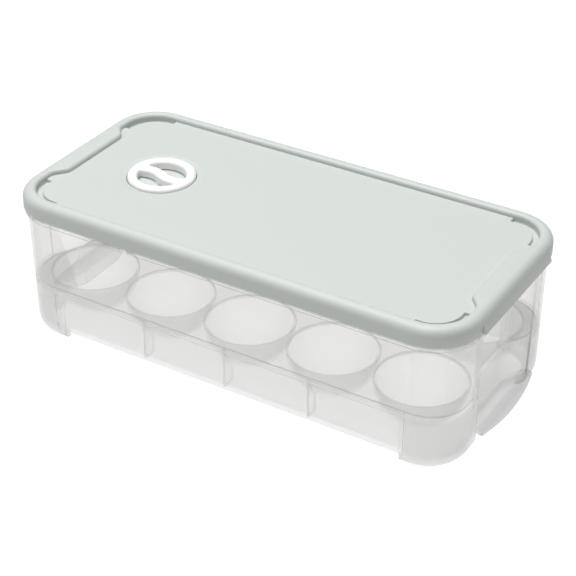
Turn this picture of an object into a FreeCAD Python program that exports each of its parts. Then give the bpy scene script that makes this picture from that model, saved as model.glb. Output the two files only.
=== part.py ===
# Egg storage container: a translucent stacking box, a lift-out tray of egg cups,
# and a coloured lid with a seal and a turning vent dial.
# Millimetres, +X along the length, +Z up, origin on the table under the middle.
import math
import os

import FreeCAD
import Part
from FreeCAD import Vector

os.makedirs("parts", exist_ok=True)

# Egg cups, which set the length and the width of the whole
cup_columns = 5
cup_rows = 2
cup_radius = 26.4
cup_gap = 1.7
cup_row_gap = 16.2
cup_end_gap = 9.6
cup_side_gap = 0.5
cup_floor_gap = 1.5
cup_wall = 1.4
cup_rim_height = 0.9
cup_bottom_radius = 8.0
cup_sides = 16
cup_steps = 3

# Egg tray, the deck that the cups hang from
deck_wall = 1.5
deck_seat_gap = 0.1
deck_clearance = 0.8

# Lid, outside
lid_top_height = 92.0
lid_corner_radius = 27.7
lid_skirt_height = 11.0
lid_skirt_wall = 1.8
lid_border_width = 7.9
lid_border_outer_round = 5.0
lid_border_inner_bevel = 1.8
lid_panel_sink = 3.0
lid_panel_wall = 1.9

# Lid, grip pads on the border and finger lips on the skirt, at both short ends
pad_depth = 6.6
pad_blend_length = 11.5
pad_corner_gap = 6.0
lip_reach = 2.0
lip_overlap = 0.5
lip_edge_height = 1.6
lip_flare_height = 5.6
lip_edge_bevel = 0.6

# Lid, grooves at the corners that take the feet of a box stacked on top
groove_width = 3.8
groove_depth = 1.9
groove_floor_wall = 1.8
groove_tail = 2.8

# Lid, inner wall that centres it in the box
plug_wall = 1.5
plug_depth = 4.6
plug_clearance = 0.6

# Seal ring in the lid's channel, over the box's rim
seal_thickness = 2.4
seal_top_clearance = 0.1
seal_side_clearance = 0.15
seal_rim_clearance = 0.2
seal_edge_bevel = 0.8

# Vent dial and the well in the lid that it turns in
dial_from_end = 62.4
dial_radius = 20.3
dial_ring_width = 5.9
dial_height = 5.6
dial_round = 2.3
dial_proud = 1.6
dial_clearance = 0.4
bar_width = 6.8
bar_arc_radius = 17.0
bar_lean_degrees = 30.0
bar_turn_degrees = 60.0
bar_drop = 0.4
bar_bevel = 1.2
well_wall = 1.6
dish_width = 4.0
dish_depth = 0.7
vent_hole_radius = 1.9
pad_radius = 2.7
pad_thickness = 1.8
stem_radius = 3.6
stem_clearance = 0.06
stem_tail = 0.8
clip_radius = 6.4
clip_thickness = 1.5
clip_clearance = 0.3

# Box
skirt_clearance = 0.4
rim_below_top = 5.4
box_wall = 1.6
box_floor = 2.0
box_draft = 0.6
base_round = 12.0
base_round_sink = 2.5
floor_bevel = 3.6
flange_reach = 1.7
flange_height = 2.8
flange_gap = 0.6
flange_bevel = 0.9

# Box, corner feet, the sunk panels between them and the ribs behind those
foot_height = 5.0
foot_wall = 2.6
foot_overlap = 1.5
side_recess_depth = 4.0
side_recess_slope = 4.0
post_length = 29.5
rib_wall = 1.4
rib_reach = 7.0
rib_clearance = 0.6

# Box, finger hollow and pull lip at both short ends
end_recess_depth = 9.6
end_recess_run = 17.0
end_recess_gap = 4.1
pull_lip_reach = 6.2
pull_lip_tip_reach = 2.6
pull_lip_tip_gap = 1.5
pull_lip_height = 11.0
pull_lip_wall = 2.4

# Straight flights in each quarter round
round_steps = 3

# One overrun for all cuts and one bite for pieces that are fused
overrun = 5.0
bite = 0.2

# Plan of the whole, round the cups
box_inset = lid_skirt_wall + skirt_clearance
cup_pitch_length = 2 * cup_radius + cup_gap
cup_pitch_width = 2 * cup_radius + cup_row_gap
cups_length = cup_columns * cup_pitch_length - cup_gap
cups_width = cup_rows * cup_pitch_width - cup_row_gap
lid_half_x = cups_length / 2 + cup_end_gap
lid_half_y = cups_width / 2 + cup_side_gap + box_wall + side_recess_depth + box_inset
cup_places = [
    Vector(
        (column - (cup_columns - 1) / 2) * cup_pitch_length,
        (row - (cup_rows - 1) / 2) * cup_pitch_width,
        0,
    )
    for row in range(cup_rows)
    for column in range(cup_columns)
]

# Box and tray, in plan and from the table up
side_recess_length = 2 * (lid_half_x - post_length)
end_recess_width = cup_pitch_width
end_recess_floor_width = end_recess_width - 2 * end_recess_run
base_knee = base_round - base_round_sink
base_inset = box_inset + box_draft + base_round - math.sqrt(base_round**2 - base_knee**2)
floor_bottom = foot_height
floor_top = foot_height + box_floor
deck_top = floor_top + cup_floor_gap + cup_radius
deck_bottom = deck_top - deck_wall
ledge_top = deck_bottom - deck_seat_gap
side_recess_height = ledge_top - box_wall

# Lid, seal and dial, from the lid's top down
skirt_bottom = lid_top_height - lid_skirt_height
panel_top = lid_top_height - lid_panel_sink
panel_bottom = panel_top - lid_panel_wall
panel_inset = lid_border_width
box_height = lid_top_height - rim_below_top
flange_top = skirt_bottom - flange_gap
flange_bottom = flange_top - flange_height
end_recess_height = flange_bottom - end_recess_gap
plug_inset = box_inset + box_wall + plug_clearance
seal_inset = lid_skirt_wall + seal_side_clearance
seal_width = plug_inset - seal_inset - seal_side_clearance
seal_bottom = box_height + seal_rim_clearance
seal_top = seal_bottom + seal_thickness
dial_top = panel_top + dial_proud
dial_bottom = dial_top - dial_height
well_floor_top = dial_bottom - dial_clearance
well_floor_bottom = well_floor_top - well_wall
well_radius = dial_radius + dial_clearance
dial_centre = Vector(dial_from_end - lid_half_x, 0, 0)


# Shapes that several pieces are made of
def closed_face(edges):
    return Part.Face(Part.Wire(Part.__sortEdges__(edges)))


def polygon_face(points):
    return Part.Face(Part.makePolygon(points + points[:1]))


def prism(face, bottom, top):
    face.translate(Vector(0, 0, bottom))
    return face.extrude(Vector(0, 0, top - bottom))


def rounded_outline(inset, height):
    # The lid's outline in plan, drawn in by an inset
    half_x = lid_half_x - inset
    half_y = lid_half_y - inset
    radius = lid_corner_radius - inset
    centre_x = half_x - radius
    centre_y = half_y - radius
    edges = []
    for quarter, (sign_x, sign_y) in enumerate([(1, 1), (-1, 1), (-1, -1), (1, -1)]):
        centre = Vector(sign_x * centre_x, sign_y * centre_y, height)
        start = quarter * math.pi / 2
        arc_points = [
            centre + Vector(radius * math.cos(angle), radius * math.sin(angle), 0)
            for angle in (start, start + math.pi / 4, start + math.pi / 2)
        ]
        edges.append(Part.Arc(*arc_points).toShape())
    corners = [(edge.Vertexes[0].Point, edge.Vertexes[-1].Point) for edge in edges]
    for quarter in range(4):
        edges.append(Part.makeLine(corners[quarter][1], corners[(quarter + 1) % 4][0]))
    return Part.Wire(Part.__sortEdges__(edges))


def lofted(levels):
    # A solid through the outline at several insets and heights
    return Part.makeLoft([rounded_outline(inset, height) for inset, height in levels], True, True)


def quarter_round(radius):
    # Points on a quarter round, as distance in from its side and height over its foot
    turns = [math.pi / 2 * step / round_steps for step in range(round_steps + 1)]
    return [(radius * (1 - math.cos(turn)), radius * math.sin(turn)) for turn in turns]


def slab(inset, bottom, top):
    return prism(Part.Face(rounded_outline(inset, 0)), bottom, top)


def ring(outer_inset, inner_inset, bottom, top):
    return slab(outer_inset, bottom, top).cut(slab(inner_inset, bottom - overrun, top + overrun))


def edges_at(shape, height):
    return [
        edge
        for edge in shape.Edges
        if all(abs(vertex.Z - height) < bite / 2 for vertex in edge.Vertexes)
        and abs(edge.BoundBox.ZMax - edge.BoundBox.ZMin) < bite / 2
    ]


def box_between(low, high):
    size = high - low
    return Part.makeBox(size.x, size.y, size.z, low)


def both_ends(shape):
    other = shape.copy()
    other.rotate(Vector(0, 0, 0), Vector(0, 0, 1), 180)
    return [shape, other]


def four_corners(start_x, start_y, bottom, top):
    # Blocks that hold only the corners of the outline
    blocks = []
    for sign_x in (-1, 1):
        for sign_y in (-1, 1):
            x_ends = sorted([sign_x * start_x, sign_x * (lid_half_x + overrun)])
            y_ends = sorted([sign_y * start_y, sign_y * (lid_half_y + overrun)])
            low = Vector(x_ends[0], y_ends[0], bottom)
            high = Vector(x_ends[1], y_ends[1], top)
            blocks.append(box_between(low, high))
    return blocks[0].multiFuse(blocks[1:])


def cylinder(radius, bottom, top, centre):
    return Part.makeCylinder(radius, top - bottom, Vector(centre.x, centre.y, bottom))


# Box: the sunk side panels and end hollows, as cutters grown by a wall for the inside
def side_recess(wall):
    inner_half = side_recess_length / 2 - side_recess_slope + wall
    outer_half = side_recess_length / 2 + wall
    panel_y = lid_half_y - box_inset - side_recess_depth - wall
    slope_x = side_recess_slope / side_recess_depth * (overrun - wall)
    outer_y = lid_half_y - box_inset + overrun - wall
    corner_x = outer_half + slope_x
    face = polygon_face(
        [
            Vector(-corner_x, outer_y, 0),
            Vector(-inner_half, panel_y, 0),
            Vector(inner_half, panel_y, 0),
            Vector(corner_x, outer_y, 0),
        ]
    )
    return both_ends(prism(face, -overrun, side_recess_height + wall))


def end_recess(wall):
    floor_half = end_recess_floor_width / 2
    mouth_half = end_recess_width / 2
    run_y = mouth_half - floor_half
    slant = math.hypot(end_recess_depth, run_y)
    grow_y = wall * (slant - run_y) / end_recess_depth
    floor_x = lid_half_x - box_inset - end_recess_depth - wall
    mouth_x = lid_half_x - box_inset + overrun - wall
    corner_y = floor_half + grow_y
    outer_y = corner_y + run_y * (mouth_x - floor_x) / end_recess_depth
    face = polygon_face(
        [
            Vector(mouth_x, -outer_y, 0),
            Vector(floor_x, -corner_y, 0),
            Vector(floor_x, corner_y, 0),
            Vector(mouth_x, outer_y, 0),
        ]
    )
    return both_ends(prism(face, -overrun, end_recess_height + wall))


def pull_lip():
    # A crescent shelf across the foot of the end hollow
    wall_x = lid_half_x - box_inset
    root_x = wall_x - end_recess_depth - bite
    root_y = end_recess_floor_width / 2
    post_x = wall_x - box_draft - box_wall
    post_y = end_recess_width / 2
    tip_x = wall_x + pull_lip_tip_reach
    tip_y = post_y - pull_lip_tip_gap
    crown = Vector(wall_x + pull_lip_reach, 0, 0)
    corners = [
        Vector(tip_x, tip_y, 0),
        Vector(post_x, post_y, 0),
        Vector(root_x, root_y, 0),
        Vector(root_x, -root_y, 0),
        Vector(post_x, -post_y, 0),
        Vector(tip_x, -tip_y, 0),
    ]
    edges = [Part.makeLine(one, other) for one, other in zip(corners, corners[1:])]
    edges.append(Part.Arc(corners[-1], crown, corners[0]).toShape())
    return both_ends(prism(closed_face(edges), pull_lip_height, pull_lip_height + pull_lip_wall))


def box_outside():
    # The drafted wall rolls in to the table over the upper part of the base round
    levels = []
    for step in range(round_steps + 1):
        height = base_knee * step / round_steps
        sink = base_round - math.sqrt(base_round**2 - (base_knee - height) ** 2)
        levels.append((box_inset + box_draft + sink, height))
    levels.append((box_inset, box_height))
    flange = slab(box_inset - flange_reach, flange_bottom, flange_top)
    flange = flange.makeChamfer(
        flange_bevel,
        edges_at(flange, flange_top) + edges_at(flange, flange_bottom),
    )
    return lofted(levels).fuse(flange)


def box_inside():
    foot = box_inset + box_wall + box_draft
    cavity = lofted(
        [
            (foot + floor_bevel, floor_top),
            (foot, floor_top + floor_bevel),
            (box_inset + box_wall, box_height + bite),
        ]
    )
    return cavity.cut(Part.makeCompound(side_recess(box_wall) + end_recess(box_wall)))


def underside_cut():
    # Everything below the floor but the four corner feet
    start_x = side_recess_length / 2 - side_recess_slope
    below = slab(-overrun, -overrun, floor_bottom)
    start_y = end_recess_width / 2 - foot_overlap
    feet = four_corners(start_x, start_y, -overrun - bite, floor_bottom + bite)
    inside = slab(base_inset + foot_wall, -overrun, floor_bottom)
    return below.cut(feet).fuse(inside)


def wall_ribs():
    # Upright ribs behind the sunk panels, under the front of each inner cup
    panel_y = lid_half_y - box_inset - side_recess_depth - box_wall
    ribs = []
    for place in cup_places:
        if abs(place.x) + cup_radius > side_recess_length / 2:
            continue
        side = math.copysign(1, place.y)
        y_ends = sorted([side * (panel_y + bite), side * (panel_y - rib_reach)])
        low = Vector(place.x - rib_wall / 2, y_ends[0], floor_top - bite)
        high = Vector(place.x + rib_wall / 2, y_ends[1], side_recess_height)
        rib = box_between(low, high)
        room = Part.makeSphere(cup_radius + rib_clearance, Vector(place.x, place.y, deck_top))
        ribs.append(rib.cut(room))
    return ribs


def make_box():
    body = box_outside()
    body = body.cut(Part.makeCompound(side_recess(0)))
    body = body.cut(Part.makeCompound(end_recess(0)))
    body = body.cut(underside_cut())
    body = body.multiFuse(pull_lip())
    body = body.cut(box_inside())
    body = body.multiFuse(wall_ribs())
    return body.removeSplitter()


# Egg tray: a deck that drops on the ledge over the side panels, with hanging cups
def bowl(radius, mouth_height):
    # A round bowl in straight flights, from an upright rim down to a flat bottom
    lowest = math.acos(cup_bottom_radius / cup_radius)
    levels = [(radius, deck_top + mouth_height)]
    for step in range(cup_steps + 1):
        turn = lowest * step / cup_steps
        levels.append((radius * math.cos(turn), deck_top - radius * math.sin(turn)))
    angles = [2 * math.pi * side / cup_sides for side in range(cup_sides)]
    loops = []
    for reach, height in levels:
        loops.append([Vector(reach * math.cos(angle), reach * math.sin(angle), height) for angle in angles])
    faces = [polygon_face(loops[0]), polygon_face(loops[-1])]
    for upper, lower in zip(loops, loops[1:]):
        for side in range(cup_sides):
            faces.append(polygon_face([upper[side - 1], upper[side], lower[side], lower[side - 1]]))
    return Part.Solid(Part.Shell(faces))


def make_tray():
    deck_inset = box_inset + box_wall + box_draft + deck_clearance
    deck = slab(deck_inset, deck_bottom, deck_top)
    deck = deck.cut(Part.makeCompound(end_recess(box_wall + deck_clearance)))
    cup = bowl(cup_radius, cup_rim_height)
    mouth = bowl(cup_radius - cup_wall, cup_rim_height + overrun)
    shell = cup.cut(mouth)
    for place in cup_places:
        deck = deck.cut(cup.translated(place))
    shells = [shell.translated(place) for place in cup_places]
    return deck.multiFuse(shells).removeSplitter()


# Lid
def panel_outline():
    # The sunk panel: the border's inner line, drawn in round the grip pads
    half_x = lid_half_x - panel_inset
    half_y = lid_half_y - panel_inset
    radius = lid_corner_radius - panel_inset
    centre_x = half_x - radius
    centre_y = half_y - radius
    flat_half = lid_half_y - lid_corner_radius - pad_corner_gap - pad_blend_length
    half_angle = math.atan2(pad_depth, pad_blend_length)
    blend_radius = pad_blend_length / (2 * math.sin(2 * half_angle))
    rise = blend_radius * (1 - math.cos(half_angle))
    run = blend_radius * math.sin(half_angle)
    middle = Vector(half_x - pad_depth / 2, flat_half + pad_blend_length / 2, 0)
    pad_end = Vector(half_x - pad_depth, flat_half, 0)
    pad_start = Vector(half_x, flat_half + pad_blend_length, 0)
    pad_curve = pad_end + Vector(rise, run, 0)
    border_curve = pad_start - Vector(rise, run, 0)
    diagonal = radius * math.cos(math.pi / 4)
    corner_low = Vector(half_x, centre_y, 0)
    corner_mid = Vector(centre_x + diagonal, centre_y + diagonal, 0)
    corner_high = Vector(centre_x, half_y, 0)
    quarter = [
        Part.makeLine(Vector(pad_end.x, 0, 0), pad_end),
        Part.Arc(pad_end, pad_curve, middle).toShape(),
        Part.Arc(middle, border_curve, pad_start).toShape(),
        Part.makeLine(pad_start, corner_low),
        Part.Arc(corner_low, corner_mid, corner_high).toShape(),
        Part.makeLine(corner_high, Vector(0, half_y, 0)),
    ]
    edges = []
    for edge in quarter:
        across = edge.mirror(Vector(0, 0, 0), Vector(1, 0, 0))
        edges += [edge, across]
        edges += [
            edge.mirror(Vector(0, 0, 0), Vector(0, 1, 0)),
            across.mirror(Vector(0, 0, 0), Vector(0, 1, 0)),
        ]
    return closed_face(edges)


def lid_blank():
    levels = [(0, skirt_bottom)]
    for inward, rise in quarter_round(lid_border_outer_round):
        levels.append((inward, lid_top_height - lid_border_outer_round + rise))
    panel = prism(panel_outline(), panel_top, lid_top_height + overrun)
    blank = lofted(levels).cut(panel)
    top_edges = edges_at(blank, lid_top_height)
    inner_edges = [edge for edge in top_edges if edge.distToShape(panel)[0] < bite]
    return blank.makeChamfer(lid_border_inner_bevel, inner_edges)


def finger_lips():
    # The foot of the skirt flares out along the short ends, to lift the lid by
    lip_half = lid_half_y - lid_corner_radius + lip_overlap
    root_x = lid_half_x - lid_skirt_wall
    edge_x = lid_half_x + lip_reach
    outline = [
        Vector(root_x, -lip_half, skirt_bottom),
        Vector(edge_x - lip_edge_bevel, -lip_half, skirt_bottom),
        Vector(edge_x, -lip_half, skirt_bottom + lip_edge_bevel),
        Vector(edge_x, -lip_half, skirt_bottom + lip_edge_height),
        Vector(lid_half_x, -lip_half, skirt_bottom + lip_flare_height),
        Vector(root_x, -lip_half, skirt_bottom + lip_flare_height),
    ]
    return both_ends(polygon_face(outline).extrude(Vector(0, 2 * lip_half, 0)))


def vent_places():
    # The bar's two crowns, which lie over the vent holes when the dial is shut
    lean = math.radians(bar_lean_degrees)
    crown = Vector(
        -bar_arc_radius * math.sin(lean),
        bar_arc_radius * (1 - math.cos(lean)),
        0,
    )
    return [dial_centre + crown, dial_centre - crown]


def make_lid():
    lid = lid_blank().multiFuse(finger_lips())
    lid = lid.cut(slab(lid_skirt_wall, skirt_bottom - overrun, panel_bottom))
    channel_top = seal_top + seal_top_clearance
    lid = lid.cut(ring(lid_skirt_wall, plug_inset, panel_bottom - bite, channel_top))

    # The centring wall and the groove floors stand under the panel
    plug = ring(plug_inset, plug_inset + plug_wall, panel_bottom - plug_depth, panel_bottom + bite)
    corner_x = lid_half_x - lid_corner_radius - groove_tail
    corner_y = lid_half_y - lid_corner_radius - groove_tail
    corners = four_corners(corner_x, corner_y, skirt_bottom - overrun, lid_top_height + overrun)
    bed_corners = four_corners(
        corner_x - groove_floor_wall,
        corner_y - groove_floor_wall,
        skirt_bottom - overrun,
        lid_top_height + overrun,
    )
    groove_floor = panel_top - groove_depth
    groove_inner = panel_inset + groove_width
    bed = ring(
        plug_inset,
        groove_inner + groove_floor_wall,
        groove_floor - groove_floor_wall,
        panel_bottom + bite,
    )
    boss = cylinder(well_radius + well_wall, well_floor_bottom, panel_bottom + bite, dial_centre)
    lid = lid.multiFuse([plug, bed.common(bed_corners), boss])
    groove = ring(panel_inset, groove_inner, groove_floor, panel_top + overrun)
    lid = lid.cut(groove.common(corners))

    # The dial's well, the dish round it, the stem's hole and the vent holes
    well = cylinder(well_radius, well_floor_top, lid_top_height, dial_centre)
    dish = Part.makeCone(
        well_radius,
        well_radius + dish_width,
        dish_depth,
        Vector(dial_centre.x, 0, panel_top - dish_depth),
    )
    stem_hole = cylinder(stem_radius + stem_clearance, well_floor_bottom - overrun, panel_top, dial_centre)
    holes = [
        cylinder(vent_hole_radius, well_floor_bottom - overrun, panel_top, place)
        for place in vent_places()
    ]
    lid = lid.cut(Part.makeCompound([well, dish]))
    return lid.cut(Part.makeCompound([stem_hole] + holes)).removeSplitter()


def make_seal():
    seal = ring(seal_inset, seal_inset + seal_width, seal_bottom, seal_top)
    return seal.makeChamfer(seal_edge_bevel, edges_at(seal, seal_bottom))


# Vent dial: a rounded ring with a waved grip bar, a stem and a clip under the lid
def bar_face():
    lean = math.radians(bar_lean_degrees)
    end_angle = math.radians(bar_turn_degrees)
    edges = []
    tips = []
    for side in (1, -1):
        centre = Vector(
            -side * bar_arc_radius * math.sin(lean),
            -side * bar_arc_radius * math.cos(lean),
            0,
        )
        start = math.pi / 2 - lean + (0 if side > 0 else math.pi)
        ends = []
        for radius in (bar_arc_radius + bar_width / 2, bar_arc_radius - bar_width / 2):
            points = [
                centre + Vector(radius * math.cos(start + turn), radius * math.sin(start + turn), 0)
                for turn in (0, end_angle / 2, end_angle)
            ]
            edges.append(Part.Arc(*points).toShape())
            ends.append(points[-1])
        tips.append(ends)
    for ends in tips:
        edges.append(Part.makeLine(*ends))
    return closed_face(edges)


def make_dial():
    inner_radius = dial_radius - dial_ring_width
    shoulder = dial_top - dial_round
    rolled = quarter_round(dial_round)
    outline = [Vector(inner_radius, 0, dial_bottom)]
    outline += [Vector(inner_radius + inward, 0, shoulder + rise) for inward, rise in rolled]
    outline += [Vector(dial_radius - inward, 0, shoulder + rise) for inward, rise in reversed(rolled)]
    outline.append(Vector(dial_radius, 0, dial_bottom))
    tube = polygon_face(outline).revolve(Vector(0, 0, 0), Vector(0, 0, 1), 360)
    bar_top = dial_top - bar_drop
    bar = prism(bar_face(), dial_bottom, bar_top)
    long_edges = [edge for edge in edges_at(bar, bar_top) if edge.Length > bar_width + bite]
    bar = bar.makeChamfer(bar_bevel, long_edges)
    reach = cylinder(dial_radius - dial_round, dial_bottom - overrun, dial_top, Vector(0, 0, 0))
    stem_bottom = well_floor_bottom - clip_clearance - clip_thickness - stem_tail
    stem = cylinder(stem_radius, stem_bottom, dial_bottom + bite, Vector(0, 0, 0))
    dial = tube.multiFuse([bar.common(reach), stem])
    dial.translate(dial_centre)
    pockets = [
        cylinder(pad_radius, dial_bottom - overrun, pad_top(), place)
        for place in vent_places()
    ]
    return dial.cut(Part.makeCompound(pockets)).removeSplitter()


def pad_top():
    return well_floor_top + dial_clearance / 2 + pad_thickness


def make_pads():
    bottom = well_floor_top + dial_clearance / 2
    return Part.makeCompound([cylinder(pad_radius, bottom, pad_top(), place) for place in vent_places()])


def make_clip():
    top = well_floor_bottom - clip_clearance
    disc = cylinder(clip_radius, top - clip_thickness, top, dial_centre)
    return disc.cut(cylinder(stem_radius, top - clip_thickness - overrun, top + overrun, dial_centre))


pieces = {
    "box": make_box(),
    "egg_tray": make_tray(),
    "lid": make_lid(),
    "lid_seal": make_seal(),
    "vent_dial": make_dial(),
    "vent_pads": make_pads(),
    "dial_clip": make_clip(),
}
for name, shape in pieces.items():
    shape.exportStep("parts/" + name + ".step")
    print(name, "valid" if shape.isValid() else "INVALID", len(shape.Solids), "solids", round(shape.Volume))
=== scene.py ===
import math

import bpy
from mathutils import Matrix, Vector


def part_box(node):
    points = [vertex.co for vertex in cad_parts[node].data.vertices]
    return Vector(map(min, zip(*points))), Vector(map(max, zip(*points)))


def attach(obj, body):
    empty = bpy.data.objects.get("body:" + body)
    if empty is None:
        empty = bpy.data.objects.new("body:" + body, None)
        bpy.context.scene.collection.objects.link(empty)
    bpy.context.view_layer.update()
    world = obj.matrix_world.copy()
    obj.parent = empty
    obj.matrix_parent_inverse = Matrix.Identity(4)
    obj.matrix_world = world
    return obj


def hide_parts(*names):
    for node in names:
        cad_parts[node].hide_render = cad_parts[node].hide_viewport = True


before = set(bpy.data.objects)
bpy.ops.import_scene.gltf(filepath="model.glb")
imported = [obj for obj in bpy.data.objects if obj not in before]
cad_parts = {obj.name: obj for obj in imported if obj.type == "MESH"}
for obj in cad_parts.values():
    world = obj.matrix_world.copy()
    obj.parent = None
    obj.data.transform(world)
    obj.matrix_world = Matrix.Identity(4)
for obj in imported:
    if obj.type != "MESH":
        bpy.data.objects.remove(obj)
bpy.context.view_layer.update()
mm = 0.001


# The box is one clear polypropylene moulding that stands on four corner feet. Its long sides are sunk between
# the feet, and the ledge over each sunk panel carries the tray. Each short end has a finger hollow and a pull
# lip. It is drafted, hollowed by booleans and rounded at its edges, and everything else rests on it.
box_low, box_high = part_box("box")
pull_lip_reach = 6.2 * mm
box_half_x = box_high.x - pull_lip_reach
box_half_y = 67.0 * mm
box_corner = 25.5 * mm
box_wall = 1.6 * mm
box_draft = 0.6 * mm
base_round = 12.0 * mm
base_knee = 9.5 * mm
base_steps = 7
floor_bottom = 5.0 * mm
floor_top = 7.0 * mm
floor_round = 3.6 * mm
flange_reach = 1.7 * mm
flange_low = 77.6 * mm
flange_high = 80.4 * mm
flange_round = 1.2 * mm
foot_wall = 2.6 * mm
foot_start_x = 111.5 * mm
foot_start_y = 33.0 * mm
side_mouth = 115.5 * mm
side_depth = 4.0 * mm
side_run = 4.0 * mm
side_top = 31.7 * mm
side_round = 1.4 * mm
end_mouth = 34.5 * mm
end_depth = 9.6 * mm
end_run = 17.0 * mm
end_top = 73.5 * mm
end_round = 3.5 * mm
lip_half = 33.0 * mm
lip_tip_reach = 2.6 * mm
lip_low = 11.0 * mm
lip_wall = 2.4 * mm
lip_tip_round = 2.2 * mm
lip_fall = 0.3
cup_pitch = 54.5 * mm
cup_radius = 26.4 * mm
cup_row = 34.5 * mm
deck_top = 34.9 * mm
rib_places = (-cup_pitch, 0, cup_pitch)
rib_wall = 1.4 * mm
rib_reach = 7.0 * mm
rib_clearance = 0.6 * mm
overrun = 4.0 * mm
tolerance = 0.02 * mm
wide_face = 300 * mm * mm
side_recess = (box_half_y, side_depth, side_mouth, side_run, side_top, side_round)
end_recess = (box_half_x, end_depth, end_mouth, end_run, end_top, end_round)


def deselect():
    # Leaves nothing selected, in object mode
    if bpy.context.mode != "OBJECT":
        bpy.ops.object.mode_set(mode="OBJECT")
    bpy.ops.object.select_all(action="DESELECT")


def activate(piece):
    # Leaves one piece selected and active, in object mode
    deselect()
    piece.select_set(True)
    bpy.context.view_layer.objects.active = piece


def settle():
    # Puts the active piece's place, turn and scale into its mesh
    bpy.ops.object.transform_apply(location=True, rotation=True, scale=True)


def open_mesh(piece, kind):
    # Readies a piece for marking its points, edges or faces, with none of them marked yet
    activate(piece)
    bpy.ops.object.mode_set(mode="EDIT")
    bpy.ops.mesh.select_mode(type=kind)
    bpy.ops.mesh.select_all(action="DESELECT")
    bpy.ops.object.mode_set(mode="OBJECT")


def pick(piece, kind, test, largest=math.inf):
    # Opens edit mode with only the edges, or the faces up to a size, selected whose points all pass the test
    open_mesh(piece, kind)
    points = piece.data.vertices
    for part in piece.data.polygons if kind == "FACE" else piece.data.edges:
        fits = kind == "EDGE" or part.area < largest
        part.select = fits and all(test(points[index].co) for index in part.vertices)
    bpy.ops.object.mode_set(mode="EDIT")


def near(value, target):
    return abs(value - target) < tolerance


def block_between(name, low, high):
    # A cube primitive stretched between two corners
    deselect()
    bpy.ops.mesh.primitive_cube_add(size=1, location=(Vector(low) + Vector(high)) / 2)
    block = bpy.context.object
    block.name = name
    block.scale = Vector(high) - Vector(low)
    settle()
    return block


def rounded_block(name, half_x, half_y, corner, low, high):
    # A block whose four upright edges are rounded
    block = block_between(name, (-half_x, -half_y, low), (half_x, half_y, high))
    open_mesh(block, "EDGE")
    for edge in block.data.edges:
        one, other = (block.data.vertices[index].co for index in edge.vertices)
        edge.select = not near(one.z, other.z)
    bpy.ops.object.mode_set(mode="EDIT")
    bpy.ops.mesh.bevel(offset=corner, segments=16, affect="EDGES")
    bpy.ops.object.mode_set(mode="OBJECT")
    return block


def box_block(name, grow, low, high):
    # A rounded block on the plan of the box, grown or shrunk all round
    return rounded_block(name, box_half_x + grow, box_half_y + grow, box_corner + grow, low, high)


def step_in(steps):
    # Carries the selected faces inwards and along their normal, one loop for each step
    for inward, rise in steps:
        bpy.ops.mesh.inset(thickness=inward, depth=rise, use_even_offset=True)


def quarter(radius, steps, falling=False):
    # Insets and rises from loop to loop over a quarter round, up from its side or down from its crown
    turns = [math.pi / 2 * step / steps for step in range(steps + 1)]
    moves = []
    for one, other in zip(turns, turns[1:]):
        inward = radius * (math.cos(one) - math.cos(other))
        rise = radius * (math.sin(other) - math.sin(one))
        moves.append((rise, -inward) if falling else (inward, rise))
    return moves


def combine(piece, other, operation):
    # Applies a boolean with a second shape, which is then removed
    activate(piece)
    change = piece.modifiers.new("combine", "BOOLEAN")
    change.operation = operation
    change.object = other
    change.solver = "EXACT"
    bpy.ops.object.modifier_apply(modifier=change.name)
    bpy.data.objects.remove(other)


def soften(piece, width, angle, shaded_edge_slot=-1):
    # Rounds the sharp edges a little, shades the rounds smooth and keeps the wide faces flat
    activate(piece)
    edge_round = piece.modifiers.new("edge", "BEVEL")
    edge_round.width = width
    edge_round.segments = 2
    edge_round.limit_method = "ANGLE"
    edge_round.angle_limit = math.radians(angle)
    edge_round.use_clamp_overlap = False
    edge_round.material = shaded_edge_slot
    bpy.ops.object.modifier_apply(modifier=edge_round.name)
    bpy.ops.object.shade_smooth_by_angle(angle=math.radians(angle))
    for face in piece.data.polygons:
        face.use_smooth = face.area < wide_face


def recess_cutter(turn, wall, depth, mouth, run, top, fillet, grow):
    # A wedge that hollows one side of the box, grown by a wall where it shapes the inside
    grow_side = grow * (math.hypot(depth, run) - run) / depth
    inner = wall - depth - grow
    outer = wall + overrun
    inner_half = mouth - run + grow_side
    outer_half = inner_half + run / depth * (outer - inner)
    cutter = block_between("recess", (-outer_half, -outer, -overrun), (outer_half, -inner, top + grow))
    pick(cutter, "FACE", lambda p: near(p.y, -inner))
    bpy.ops.transform.resize(value=(inner_half / outer_half, 1, 1), center_override=(0, 0, 0))
    pick(cutter, "EDGE", lambda p: near(p.y, -inner))
    bpy.ops.object.mode_set(mode="OBJECT")
    for edge in cutter.data.edges:
        ends = [cutter.data.vertices[index].co.z for index in edge.vertices]
        edge.select = edge.select and max(ends) > 0
    bpy.ops.object.mode_set(mode="EDIT")
    bpy.ops.mesh.bevel(offset=fillet, segments=5, affect="EDGES")
    activate(cutter)
    cutter.rotation_euler.z = math.radians(turn)
    settle()
    return cutter


def recess_cutters(grow):
    # Both long sides and both short ends
    turned = ((0, side_recess), (180, side_recess), (90, end_recess), (270, end_recess))
    return [recess_cutter(turn, *recess, grow) for turn, recess in turned]


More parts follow.
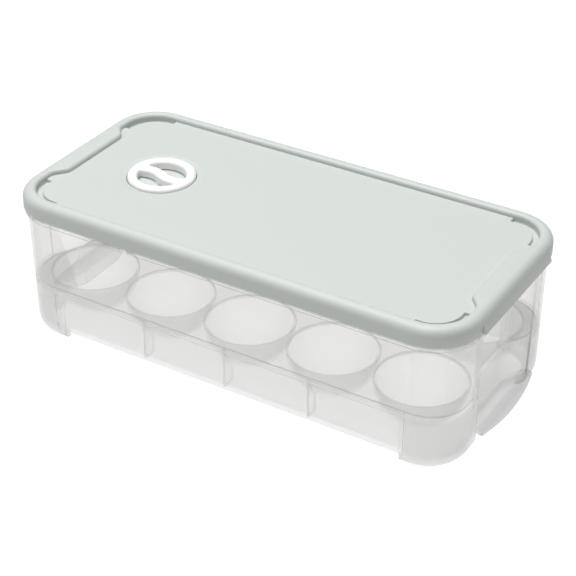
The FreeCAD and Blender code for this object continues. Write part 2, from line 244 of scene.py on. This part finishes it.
# Drafted wall on a rolled base, with the bead that the lid's skirt stops over
box = box_block("box_moulding", 0, base_knee, box_high.z)
pick(box, "FACE", lambda p: near(p.z, base_knee))
draft_x = 1 - box_draft / box_half_x
draft_y = 1 - box_draft / box_half_y
bpy.ops.transform.resize(value=(draft_x, draft_y, 1), center_override=(0, 0, base_knee))
heights = [base_knee * step / base_steps for step in range(base_steps + 1)]
sinks = [base_round - math.sqrt(base_round**2 - height**2) for height in heights]
step_in([(upper - lower, base_knee / base_steps) for lower, upper in zip(sinks, sinks[1:])])
flange_levels = (flange_low + flange_round, flange_high - flange_round)
flange = box_block("flange", flange_reach, *flange_levels)
for level in flange_levels:
    pick(flange, "FACE", lambda p: near(p.z, level))
    step_in(quarter(flange_round, steps=4))
combine(box, flange, "UNION")

# The recesses, and the room under the floor between the feet
for cutter in recess_cutters(0):
    combine(box, cutter, "DIFFERENCE")
base_inset = box_draft + sinks[-1] + foot_wall
far = box_half_x + overrun
for low, high in (
    ((-foot_start_x, -far, -overrun), (foot_start_x, far, floor_bottom)),
    ((-far, -foot_start_y, -overrun), (far, foot_start_y, floor_bottom)),
):
    combine(box, block_between("underside", low, high), "DIFFERENCE")
combine(box, box_block("underside", -base_inset, -overrun, floor_bottom), "DIFFERENCE")

# A crescent pull lip across the foot of each finger hollow, from a thin slice of a cylinder that falls away
# outside the wall
lip_sagitta = pull_lip_reach - lip_tip_reach
lip_radius = (lip_half**2 + lip_sagitta**2) / (2 * lip_sagitta)
lip_fold = box_half_x - lip_tip_round / 2
for side in (-1, 1):
    deselect()
    bpy.ops.mesh.primitive_cylinder_add(
        vertices=320,
        radius=lip_radius,
        depth=lip_wall,
        location=(side * (box_half_x + pull_lip_reach - lip_radius), 0, lip_low + lip_wall / 2),
    )
    lip = bpy.context.object
    settle()
    bpy.ops.object.mode_set(mode="EDIT")
    for plane, outwards in (
        ((side * (box_half_x - end_depth), 0, 0), (-side, 0, 0)),
        ((0, -lip_half, 0), (0, -1, 0)),
        ((0, lip_half, 0), (0, 1, 0)),
    ):
        bpy.ops.mesh.select_all(action="SELECT")
        bpy.ops.mesh.bisect(plane_co=plane, plane_no=outwards, use_fill=True, clear_outer=True)
    pick(lip, "EDGE", lambda p: near(abs(p.y), lip_half) and abs(p.x) > box_half_x)
    bpy.ops.mesh.bevel(offset=lip_tip_round, segments=5, affect="EDGES")
    bpy.ops.mesh.select_all(action="SELECT")
    bpy.ops.mesh.bisect(plane_co=(side * lip_fold, 0, 0), plane_no=(1, 0, 0))
    bpy.ops.object.mode_set(mode="OBJECT")
    for point in lip.data.vertices:
        point.co.z -= lip_fall * max(abs(point.co.x) - lip_fold, 0)
    combine(box, lip, "UNION")

# The inside follows the outside at one wall, and ribs stand behind the sunk panels
inside = box_block("inside", -box_wall, floor_top + floor_round, box_high.z + overrun)
pick(inside, "FACE", lambda p: near(p.z, floor_top + floor_round))
step_in(quarter(floor_round, steps=5))
for cutter in recess_cutters(box_wall):
    combine(inside, cutter, "DIFFERENCE")
combine(box, inside, "DIFFERENCE")
panel_inside = box_half_y - side_depth - box_wall
ribs = []
for side in (-1, 1):
    for place in rib_places:
        ends = sorted([side * (panel_inside + box_wall / 2), side * (panel_inside - rib_reach)])
        rib = block_between(
            "rib",
            (place - rib_wall / 2, ends[0], floor_top - box_wall / 2),
            (place + rib_wall / 2, ends[1], side_top),
        )
        deselect()
        bpy.ops.mesh.primitive_uv_sphere_add(
            segments=64,
            ring_count=32,
            radius=cup_radius + rib_clearance,
            location=(place, side * cup_row, deck_top),
        )
        combine(rib, bpy.context.object, "DIFFERENCE")
        ribs.append(rib)
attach(box, "box")
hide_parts("box")


def plastic(name, colour, roughness, grain, grain_depth):
    # A moulded plastic whose fine mould grain shows as a faint bump and an uneven gloss
    gloss_spread = 0.05
    material = bpy.data.materials.new(name)
    material.use_nodes = True
    nodes = material.node_tree.nodes
    links = material.node_tree.links
    shader = nodes["Principled BSDF"]
    shader.inputs["Base Color"].default_value = (*colour, 1)
    place = nodes.new("ShaderNodeTexCoord")
    noise = nodes.new("ShaderNodeTexNoise")
    noise.inputs["Scale"].default_value = 1 / grain
    noise.inputs["Detail"].default_value = 3
    links.new(place.outputs["Object"], noise.inputs["Vector"])
    gloss = nodes.new("ShaderNodeMapRange")
    gloss.inputs["To Min"].default_value = roughness - gloss_spread
    gloss.inputs["To Max"].default_value = roughness + gloss_spread
    links.new(noise.outputs["Fac"], gloss.inputs["Value"])
    links.new(gloss.outputs["Result"], shader.inputs["Roughness"])
    bump = nodes.new("ShaderNodeBump")
    bump.inputs["Strength"].default_value = 0.25
    bump.inputs["Distance"].default_value = grain_depth
    links.new(noise.outputs["Fac"], bump.inputs["Height"])
    links.new(bump.outputs["Normal"], shader.inputs["Normal"])
    return material


def clear_plastic(name, colour, head_on, edge_on, roughness):
    # Milky plastic, which hides more of what is behind it where it is seen edge on
    material = plastic(name, colour, roughness, grain=1.2 * mm, grain_depth=0.01 * mm)
    nodes = material.node_tree.nodes
    links = material.node_tree.links
    facing = nodes.new("ShaderNodeLayerWeight")
    facing.inputs["Blend"].default_value = 0.35
    cover = nodes.new("ShaderNodeMapRange")
    cover.inputs["To Min"].default_value = head_on
    cover.inputs["To Max"].default_value = edge_on
    links.new(facing.outputs["Facing"], cover.inputs["Value"])
    links.new(cover.outputs["Result"], nodes["Principled BSDF"].inputs["Alpha"])
    return material


def coat(piece, *materials):
    # Gives a piece its materials, one to a slot
    piece.data.materials.clear()
    for material in materials:
        piece.data.materials.append(material)


# Edges are thicker to look through than walls, so they take a denser coat, and its darker grey is painted
# shade for their dark lines
box_plastic = clear_plastic("box_plastic", (0.88, 0.87, 0.855), head_on=0.06, edge_on=0.5, roughness=0.22)
box_edges_and_shade = clear_plastic("box_edge_plastic_and_shade", (0.52, 0.52, 0.52), head_on=0.25, edge_on=0.6, roughness=0.22)
box_floor = clear_plastic("box_floor_plastic", (0.94, 0.94, 0.94), head_on=0.03, edge_on=0.12, roughness=0.3)
wall_slot, shaded_edge_slot, floor_slot = 0, 1, 2

# The lower half of the wall is milkier than the upper half, and the corner posts on the feet are milkiest
nodes = box_plastic.node_tree.nodes
links = box_plastic.node_tree.links
place = nodes.new("ShaderNodeTexCoord")
split = nodes.new("ShaderNodeSeparateXYZ")
links.new(place.outputs["Object"], split.inputs["Vector"])


def ramp(value, start, end, share):
    # Rises from nothing at one place to a share at the other
    step = nodes.new("ShaderNodeMapRange")
    step.inputs["From Min"].default_value = start
    step.inputs["From Max"].default_value = end
    step.inputs["To Max"].default_value = share
    links.new(value, step.inputs["Value"])
    return step.outputs["Result"]


def calculate(operation, *values):
    # One sum of the material's own numbers
    step = nodes.new("ShaderNodeMath")
    step.operation = operation
    for value, socket in zip(values, step.inputs):
        links.new(value, socket)
    return step.outputs["Value"]


milky_from, milky_to = deck_top + side_round, side_top - side_round
low_half = ramp(split.outputs["Z"], milky_from, milky_to, share=0.15)
post_low = ramp(split.outputs["Z"], milky_from, milky_to, share=0.23)
post_x = ramp(calculate("ABSOLUTE", split.outputs["X"]), side_mouth - side_run, side_mouth, share=1)
post_y = ramp(calculate("ABSOLUTE", split.outputs["Y"]), foot_start_y, end_mouth, share=1)
post = calculate("MULTIPLY", post_low, calculate("MULTIPLY", post_x, post_y))
shader = nodes["Principled BSDF"]
wall_cover = shader.inputs["Alpha"].links[0].from_socket
links.new(calculate("ADD", wall_cover, calculate("ADD", low_half, post)), shader.inputs["Alpha"])
coat(box, box_plastic, box_edges_and_shade, box_floor)
# The rounds made here take the darker edge coat, painted shade along every edge of the moulding
soften(box, width=0.45 * mm, angle=25, shaded_edge_slot=shaded_edge_slot)

# The pull lip and the flange's slopes outside the wall take the edge coat, painted shade for their dark lines
# and the shade under the bead; the floor and the ledge are clearest
outline_margin = 0.1 * mm
lip_zone = 2 * lip_low
for face in box.data.polygons:
    middle = face.center
    across = max(abs(middle.x) - box_half_x + box_corner, 0)
    along = max(abs(middle.y) - box_half_y + box_corner, 0)
    outside = math.hypot(across, along) > box_corner + outline_margin
    sloped = abs(face.normal.z) > 0.4
    level = abs(face.normal.z) > 0.9
    on_floor = level and floor_bottom / 2 < middle.z < floor_top + box_wall
    on_ledge = level and face.area > wide_face and middle.z < deck_top
    in_hollow = abs(middle.y) < end_mouth and abs(middle.x) > box_half_x - end_depth - overrun
    if outside and (middle.z < lip_zone or sloped):
        face.material_index = shaded_edge_slot
    elif in_hollow and lip_low - box_wall < middle.z < lip_zone:
        face.material_index = wall_slot
    elif on_floor or on_ledge:
        face.material_index = floor_slot
for rib in ribs:
    coat(rib, box_plastic, box_edges_and_shade, box_floor)
    # Each rib's narrow faces take the darker edge coat, painted shade for the dark line a rib shows through
    # the wall, and its broad faces the clearest coat
    for face in rib.data.polygons:
        face.material_index = floor_slot if abs(face.normal.x) > 0.9 else shaded_edge_slot
activate(box)
for rib in ribs:
    rib.select_set(True)
bpy.ops.object.join()


# The egg tray is a second clear moulding: a thin deck that drops on the box's ledge, with ten round cups
# hanging from it, each with a fine raised rim and a flat bottom. It lies loose and lifts straight out.
deck_inset = 3.0 * mm
deck_bottom = 33.4 * mm
deck_clearance = 0.8 * mm
cup_wall = 1.4 * mm
cup_rim = 0.9 * mm
cup_bottom_radius = 8.0 * mm
cup_columns = [column * cup_pitch for column in range(-2, 3)]
tray = box_block("tray_moulding", -deck_inset, deck_bottom, deck_top)
for turn in (90, 270):
    combine(tray, recess_cutter(turn, *end_recess, box_wall + deck_clearance), "DIFFERENCE")

# One cup: the lower half of a sphere with its bottom cut flat, a rim drawn up from its edge, and a wall
deselect()
bpy.ops.mesh.primitive_uv_sphere_add(segments=64, ring_count=40, radius=cup_radius)
cup = bpy.context.object
bpy.ops.object.mode_set(mode="EDIT")
bpy.ops.mesh.select_all(action="SELECT")
bpy.ops.mesh.bisect(plane_co=(0, 0, 0), plane_no=(0, 0, 1), clear_outer=True)
bpy.ops.mesh.select_all(action="SELECT")
cup_depth = math.sqrt(cup_radius**2 - cup_bottom_radius**2)
bpy.ops.mesh.bisect(plane_co=(0, 0, -cup_depth), plane_no=(0, 0, -1), clear_outer=True, use_fill=True)
pick(cup, "EDGE", lambda p: near(p.z, 0))
bpy.ops.mesh.extrude_edges_move(TRANSFORM_OT_translate={"value": (0, 0, cup_rim)})
activate(cup)
wall = cup.modifiers.new("wall", "SOLIDIFY")
wall.thickness = cup_wall
wall.offset = -1
wall.use_even_offset = True
bpy.ops.object.modifier_apply(modifier=wall.name)
tray_plastic = clear_plastic("tray_plastic", (0.95, 0.945, 0.935), head_on=0.07, edge_on=0.32, roughness=0.1)
tray_plastic.node_tree.nodes["Principled BSDF"].inputs["Specular IOR Level"].default_value = 0.9
tray_deck = clear_plastic(
    "tray_deck_plastic", (0.70, 0.695, 0.685), head_on=0.09, edge_on=0.24, roughness=0.2
)
tray_edges_and_shade = clear_plastic("tray_edge_plastic_and_shade", (0.46, 0.46, 0.46), head_on=0.35, edge_on=0.62, roughness=0.2)
# The rounds on the cup's rim take the grey edge coat, painted shade for the dark lines a clear rim shows
coat(cup, tray_plastic, tray_edges_and_shade)
soften(cup, width=0.4 * mm, angle=50, shaded_edge_slot=shaded_edge_slot)

# Ten of them in the deck, whose outer edge is painted grey, painted shade for the dark line along the edge of
# a clear sheet
cups = []
for row in (-cup_row, cup_row):
    for column in cup_columns:
        deselect()
        bpy.ops.mesh.primitive_cylinder_add(
            vertices=96,
            radius=cup_radius - cup_wall / 2,
            depth=2 * overrun,
            location=(column, row, deck_top),
        )
        combine(tray, bpy.context.object, "DIFFERENCE")
        activate(cup)
        bpy.ops.object.duplicate()
        copy = bpy.context.object
        copy.location = (column, row, deck_top)
        settle()
        cups.append(copy)
bpy.data.objects.remove(cup)
coat(tray, tray_deck, tray_edges_and_shade)
soften(tray, width=0.3 * mm, angle=40)
for face in tray.data.polygons:
    middle = face.center
    from_cup = min(math.hypot(middle.x - column, abs(middle.y) - cup_row) for column in cup_columns)
    upright = abs(face.normal.z) < 0.8
    if upright and from_cup > cup_radius + cup_wall:
        face.material_index = shaded_edge_slot
for copy in cups:
    copy.select_set(True)
bpy.ops.object.join()
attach(tray, "tray")
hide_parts("egg_tray")


# The lid is one pale sage polypropylene moulding. A rolled border stands round a sunk panel, widens into a
# grip pad at each short end, and the skirt below drops over the rim of the box. It lifts straight off.
lid_low, lid_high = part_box("lid")
finger_lip_reach = 2.0 * mm
lid_half_x = lid_high.x - finger_lip_reach
lid_half_y = lid_high.y
lid_corner = 27.7 * mm
border_width = 7.9 * mm
border_round = 5.0 * mm
border_inner_round = 2.2 * mm
panel_sink = 3.0 * mm
panel_wall = 1.9 * mm
panel_top = lid_high.z - panel_sink
skirt_wall = 1.8 * mm
groove_width = 3.8 * mm
groove_depth = 1.9 * mm
groove_tail = 2.8 * mm
pad_depth = 6.6 * mm
pad_straight = 24.0 * mm
pad_blend = 11.5 * mm
channel_top = 89.3 * mm
plug_inset = 4.4 * mm
plug_wall = 1.5 * mm
plug_bottom = 82.5 * mm
bed_bottom = 85.3 * mm
bed_width = 7.6 * mm
finger_lip_edge = 1.6 * mm
finger_lip_flare = 5.6 * mm
finger_lip_round = 0.7 * mm
shoulder = lid_high.z - border_round
lid = rounded_block("lid_moulding", lid_half_x, lid_half_y, lid_corner, lid_low.z, shoulder)

# The long sides get points where the corner grooves end, and the short ends get points for the grip pads
groove_x = lid_half_x - lid_corner - groove_tail
groove_y = lid_half_y - lid_corner - groove_tail
for side in (-1, 1):
    bpy.ops.object.mode_set(mode="EDIT")
    bpy.ops.mesh.select_all(action="SELECT")
    bpy.ops.mesh.bisect(plane_co=(side * groove_x, 0, 0), plane_no=(1, 0, 0))
    bpy.ops.object.mode_set(mode="OBJECT")
pick(lid, "EDGE", lambda p: near(abs(p.x), lid_half_x) and near(p.z, shoulder))
bpy.ops.mesh.subdivide(number_cuts=90)

# Border, panel and the groove's width, from the outside in
pick(lid, "FACE", lambda p: near(p.z, shoulder))
step_in(quarter(border_round, steps=7))
step_in([(border_width - border_round - border_inner_round, 0)])
step_in(quarter(border_inner_round, steps=5, falling=True))
step_in([(0, border_inner_round - panel_sink), (groove_width, 0)])
bpy.ops.object.mode_set(mode="OBJECT")

# The grip pads draw the border's inner edge in over the middle of each short end
pad_margin = 0.05 * mm
pad_depth_below = 1.0 * mm
inner_line = border_width - border_inner_round - pad_margin
inner_end = border_width + groove_width + pad_depth
for point in lid.data.vertices:
    inward = lid_half_x - abs(point.co.x)
    if point.co.z > panel_top - pad_depth_below and inner_line < inward < inner_end:
        reach = min(max((abs(point.co.y) - pad_straight) / pad_blend, 0), 1)
        share = 1 - reach * reach * (3 - 2 * reach)
        point.co.x -= math.copysign(pad_depth * share, point.co.x)

# Corner grooves, which take the feet of a box stacked on top
def in_groove(p):
    in_corner = abs(p.x) > groove_x - tolerance and abs(p.y) > groove_y - tolerance
    return in_corner and near(p.z, panel_top)


pick(lid, "FACE", in_groove, largest=groove_width * lid_corner)
bpy.ops.mesh.extrude_region_move(TRANSFORM_OT_translate={"value": (0, 0, -groove_depth)})

# Underside: the skirt, the channel of the seal, the centring wall and the beds of the grooves
pick(lid, "FACE", lambda p: near(p.z, lid_low.z))
step_in(
    [
        (skirt_wall, 0),
        (0, lid_low.z - channel_top),
        (plug_inset - skirt_wall, 0),
        (0, channel_top - plug_bottom),
        (plug_wall, 0),
        (0, plug_bottom - bed_bottom),
        (bed_width, 0),
        (0, bed_bottom - panel_top + panel_wall),
    ]
)

# The foot of the skirt flares out along the short ends, to lift the lid by
edge_top = lid_low.z + finger_lip_edge
for side in (-1, 1):
    pick(lid, "FACE", lambda p: near(p.x, side * lid_half_x))
    bpy.ops.mesh.bisect(plane_co=(0, 0, edge_top), plane_no=(0, 0, 1))
    pick(lid, "FACE", lambda p: near(p.x, side * lid_half_x) and p.z < edge_top + tolerance)
    bpy.ops.mesh.extrude_region_move(TRANSFORM_OT_translate={"value": (side * finger_lip_reach, 0, 0)})
    pick(lid, "EDGE", lambda p: near(p.x, side * lid_half_x) and near(p.z, edge_top))
    bpy.ops.transform.translate(value=(0, 0, finger_lip_flare - finger_lip_edge))
    pick(lid, "FACE", lambda p: near(p.x, side * (lid_half_x + finger_lip_reach)))
    bpy.ops.mesh.select_mode(type="EDGE")
    bpy.ops.mesh.region_to_loop()
    bpy.ops.mesh.bevel(offset=finger_lip_round, segments=4, affect="EDGES")

# The dial's well with its boss below and a faint dish round its mouth
dial_low, dial_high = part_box("vent_dial")
dial_middle = Vector(((dial_low.x + dial_high.x) / 2, 0, 0))
well_radius = 20.7 * mm
well_floor = 84.6 * mm
well_wall = 1.6 * mm
dish_width = 4.0 * mm
dish_depth = 0.7 * mm


def round_plug(radius, low, high, middle):
    # A cylinder primitive between two heights
    deselect()
    bpy.ops.mesh.primitive_cylinder_add(
        vertices=96, radius=radius, depth=high - low, location=(middle.x, middle.y, (low + high) / 2)
    )
    settle()
    return bpy.context.object


boss = round_plug(well_radius + well_wall, well_floor - well_wall, panel_top - panel_wall / 2, dial_middle)
combine(lid, boss, "UNION")
well = round_plug(well_radius, well_floor, panel_top - dish_depth, dial_middle)
pick(well, "FACE", lambda p: near(p.z, panel_top - dish_depth))
bpy.ops.mesh.extrude_region_move(TRANSFORM_OT_translate={"value": (0, 0, dish_depth)})
flare = (well_radius + dish_width) / well_radius
bpy.ops.transform.resize(value=(flare, flare, 1), center_override=dial_middle + Vector((0, 0, panel_top)))
bpy.ops.mesh.extrude_region_move(TRANSFORM_OT_translate={"value": (0, 0, overrun)})
combine(lid, well, "DIFFERENCE")
soften(lid, width=0.35 * mm, angle=40)
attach(lid, "lid")
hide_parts("lid")
sage = (0.495, 0.526, 0.503)
coat(lid, plastic("sage_plastic", sage, roughness=0.5, grain=0.7 * mm, grain_depth=0.03 * mm))


# The seal is a ring of soft milky silicone, carried over from the CAD. It is pressed into the lid's channel,
# moves with the lid and closes on the rim of the box.
silicone = {"colour": (0.80, 0.82, 0.81), "roughness": 0.55, "grain": 0.5 * mm, "grain_depth": 0.02 * mm}
coat(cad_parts["lid_seal"], plastic("seal_silicone", **silicone))


# The vent dial is a white plastic moulding that turns in its well: a rolled ring with a waved grip bar across
# it and a stem below, spun and melted into one skin. Two silicone pads under the bar close the vent holes,
# and a push-on clip holds the stem. The pads and the clip are carried over from the CAD.
ring_width = 5.9 * mm
ring_round = 2.3 * mm
dial_radius = dial_high.x - dial_middle.x
dial_bottom = 85.0 * mm
bar_width = 6.8 * mm
bar_sink = 0.4 * mm
bar_top = dial_high.z - bar_sink
bar_round = 1.8 * mm
bar_arc = 17.0 * mm
bar_lean = math.radians(30)
bar_turn = math.radians(60)
stem_radius = 3.6 * mm


def section(name, middle_x, width, low, high, top_round, turn):
    # An upright plate in the XZ plane with its two top corners rounded, turned about the middle
    deselect()
    bpy.ops.mesh.primitive_plane_add(size=1, location=(middle_x, 0, (low + high) / 2))
    plate = bpy.context.object
    plate.name = name
    plate.scale = (width, high - low, 1)
    plate.rotation_euler.x = math.pi / 2
    settle()
    open_mesh(plate, "VERT")
    for point in plate.data.vertices:
        point.select = near(point.co.z, high)
    bpy.ops.object.mode_set(mode="EDIT")
    bpy.ops.mesh.bevel(affect="VERTICES", offset=top_round, segments=6)
    activate(plate)
    plate.rotation_euler.z = turn
    settle()
    bpy.ops.object.mode_set(mode="EDIT")
    bpy.ops.mesh.select_all(action="SELECT")
    return plate


ring_middle = dial_radius - ring_width / 2
dial = section("dial_moulding", ring_middle, ring_width, dial_bottom, dial_high.z, ring_round, turn=0)
bpy.ops.mesh.delete(type="ONLY_FACE")
bpy.ops.mesh.select_all(action="SELECT")
bpy.ops.mesh.spin(steps=96, angle=2 * math.pi, center=(0, 0, 0), axis=(0, 0, 1))
bpy.ops.mesh.select_all(action="SELECT")
bpy.ops.mesh.remove_doubles(threshold=0.01 * mm)
bpy.ops.mesh.normals_make_consistent(inside=False)
parts = []
arc_middle = (-bar_arc * math.sin(bar_lean), -bar_arc * math.cos(bar_lean), 0)
for half_turn in (0, math.pi):
    bar = section("bar", 0, bar_width, dial_bottom, bar_top, bar_round, turn=math.pi / 2 - bar_lean)
    bpy.ops.mesh.spin(steps=14, angle=-bar_turn, center=arc_middle, axis=(0, 0, 1))
    bpy.ops.mesh.select_all(action="SELECT")
    bpy.ops.mesh.normals_make_consistent(inside=False)
    activate(bar)
    bar.rotation_euler.z = half_turn
    settle()
    parts.append(bar)
parts.append(round_plug(stem_radius, dial_low.z, dial_bottom + bar_width / 2, Vector((0, 0, 0))))
activate(dial)
for part in parts:
    part.select_set(True)
bpy.ops.object.join()
dial.location = dial_middle
settle()
skin = dial.modifiers.new("skin", "REMESH")
skin.mode = "VOXEL"
skin.voxel_size = 0.35 * mm
bpy.ops.object.modifier_apply(modifier=skin.name)
blend = dial.modifiers.new("blend", "SMOOTH")
blend.factor = 0.5
blend.iterations = 8
bpy.ops.object.modifier_apply(modifier=blend.name)
bpy.ops.object.shade_smooth()
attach(dial, "dial")
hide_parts("vent_dial")
white = (0.86, 0.855, 0.845)
white_plastic = plastic("white_plastic", white, roughness=0.35, grain=0.8 * mm, grain_depth=0.01 * mm)
coat(dial, white_plastic)
coat(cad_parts["dial_clip"], white_plastic)
coat(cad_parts["vent_pads"], plastic("pad_silicone", **silicone))


# The studio is a plain white table under a large soft lamp overhead and a small one at the front left, with
# the camera where the photograph was taken from. The table is white by its own glow, so it takes no shadow.
deselect()
bpy.ops.mesh.primitive_plane_add(size=8)
floor = bpy.context.object
floor.name = "studio_floor"
floor_paint = bpy.data.materials.new("floor_paint")
floor_paint.use_nodes = True
floor_shader = floor_paint.node_tree.nodes["Principled BSDF"]
floor_shader.inputs["Base Color"].default_value = (0.06, 0.06, 0.06, 1)
floor_shader.inputs["Roughness"].default_value = 0.9
floor_shader.inputs["Emission Color"].default_value = (1, 1, 1, 1)
floor_shader.inputs["Emission Strength"].default_value = 0.96
coat(floor, floor_paint)

world = bpy.data.worlds.new("studio")
bpy.context.scene.world = world
world.use_nodes = True
world.node_tree.nodes["Background"].inputs["Color"].default_value = (1, 1, 1, 1)
world.node_tree.nodes["Background"].inputs["Strength"].default_value = 0.21


def softbox(name, place, target, size, power):
    # A square lamp of a width in metres and a power in watts, turned to its target
    lamp = bpy.data.lights.new(name, "AREA")
    lamp.shape = "SQUARE"
    lamp.size = size
    lamp.energy = power
    holder = bpy.data.objects.new(name, lamp)
    bpy.context.scene.collection.objects.link(holder)
    holder.location = place
    holder.rotation_euler = (Vector(target) - Vector(place)).to_track_quat("-Z", "Y").to_euler()


softbox("top_light", (-0.2, 0.0, 1.7), (0, 0, 0), size=1.3, power=39)
softbox("front_light", (-0.6, -1.05, 0.85), (0, 0, 0.05), size=0.08, power=0.8)

camera = bpy.data.cameras.new("photo_camera")
camera.sensor_width = 36
camera.lens = 99.56
viewpoint = bpy.data.objects.new("photo_camera", camera)
bpy.context.scene.collection.objects.link(viewpoint)
viewpoint.location = (0.4074, -0.6636, 0.5377)
aim = Vector((0.00407, 0, 0.0393)) - viewpoint.location
viewpoint.rotation_euler = aim.to_track_quat("-Z", "Y").to_euler()
bpy.context.scene.camera = viewpoint
bpy.context.scene.view_settings.view_transform = "Standard"
bpy.context.scene.cycles.transparent_max_bounces = 32
